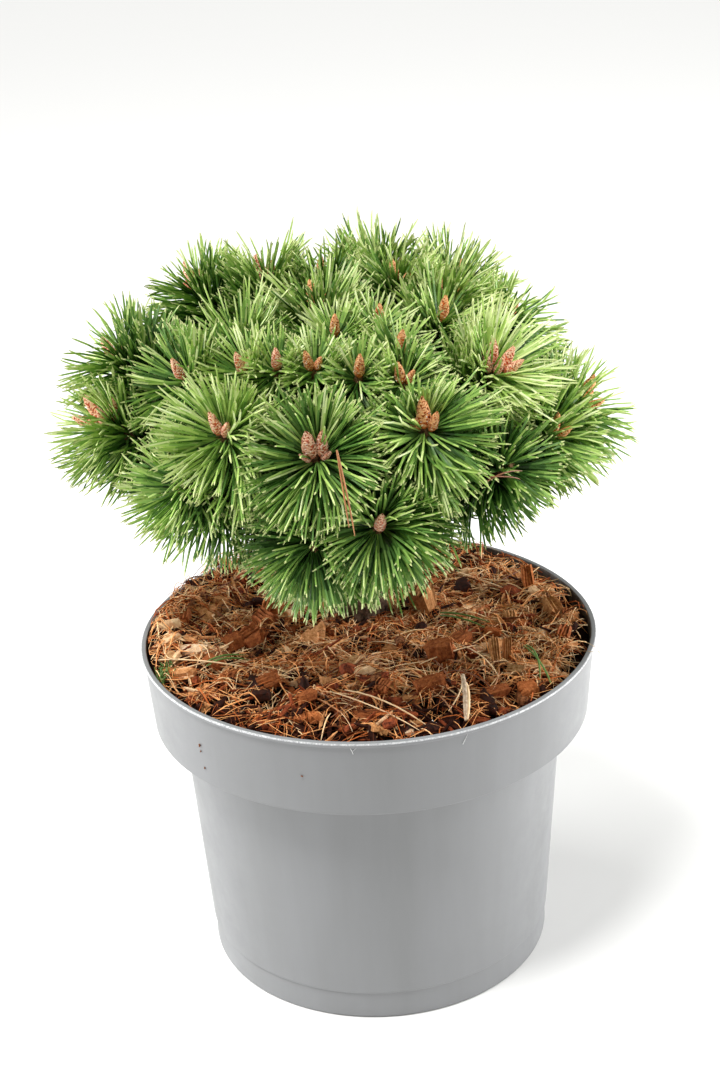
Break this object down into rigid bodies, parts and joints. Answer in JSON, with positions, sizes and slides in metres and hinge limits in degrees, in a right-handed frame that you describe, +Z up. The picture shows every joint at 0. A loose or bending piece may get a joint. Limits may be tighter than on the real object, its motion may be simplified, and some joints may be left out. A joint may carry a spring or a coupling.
{
  "type": "potted dwarf mugo pine",
  "caption": "Dwarf mugo pine with a dense domed head of needle tufts on spreading boughs, standing in bark mulch in a grey round nursery pot with a deep collar.",
  "frame": {"origin": "centre of the pot's flat underside, on the surface that it stands on", "axes": "+Z up along the pot's axis; -Y towards the front of the plant, where the lowest shoots hang forward; +X to its right as seen from the front"},
  "size_m": [0.2811, 0.2573, 0.3665],
  "materials": {
    "pot": "mid-grey injection-moulded polypropylene, satin, with a slightly shiny rim",
    "mulch": "coarse red-brown bark chips and coir fibre, dull and rough",
    "bark": "grey-brown scaly pine bark, dull",
    "needles": "mid-green pine needles with paler tips, waxy sheen"
  },
  "bodies": {
    "root": {"pot": "pot", "mulch": "mulch", "trunk": "bark", "bough_back": "bark", "bough_back_left": "bark", "bough_back_right": "bark", "bough_front": "bark", "bough_front_left": "bark", "bough_front_low_left": "bark", "bough_front_low_right": "bark", "bough_front_right": "bark", "bough_high_back": "bark", "bough_high_back_left": "bark", "bough_high_back_right": "bark", "bough_high_right": "bark", "bough_left": "bark", "bough_left_back": "bark", "bough_left_high": "bark", "bough_left_low": "bark", "bough_right": "bark", "bough_right_back": "bark", "bough_right_high": "bark", "bough_right_low": "bark", "bough_upper_front": "bark", "bough_upper_left": "bark", "bough_upper_right": "bark", "foliage_back": "needles", "foliage_back_left": "needles", "foliage_back_right": "needles", "foliage_front": "needles", "foliage_front_left": "needles", "foliage_front_low_left": "needles", "foliage_front_low_right": "needles", "foliage_front_right": "needles", "foliage_high_back": "needles", "foliage_high_back_left": "needles", "foliage_high_back_right": "needles", "foliage_high_right": "needles", "foliage_left": "needles", "foliage_left_back": "needles", "foliage_left_high": "needles", "foliage_left_low": "needles", "foliage_right": "needles", "foliage_right_back": "needles", "foliage_right_high": "needles", "foliage_right_low": "needles", "foliage_top": "needles", "foliage_upper_front": "needles", "foliage_upper_left": "needles", "foliage_upper_right": "needles"}
  },
  "joints": []
}
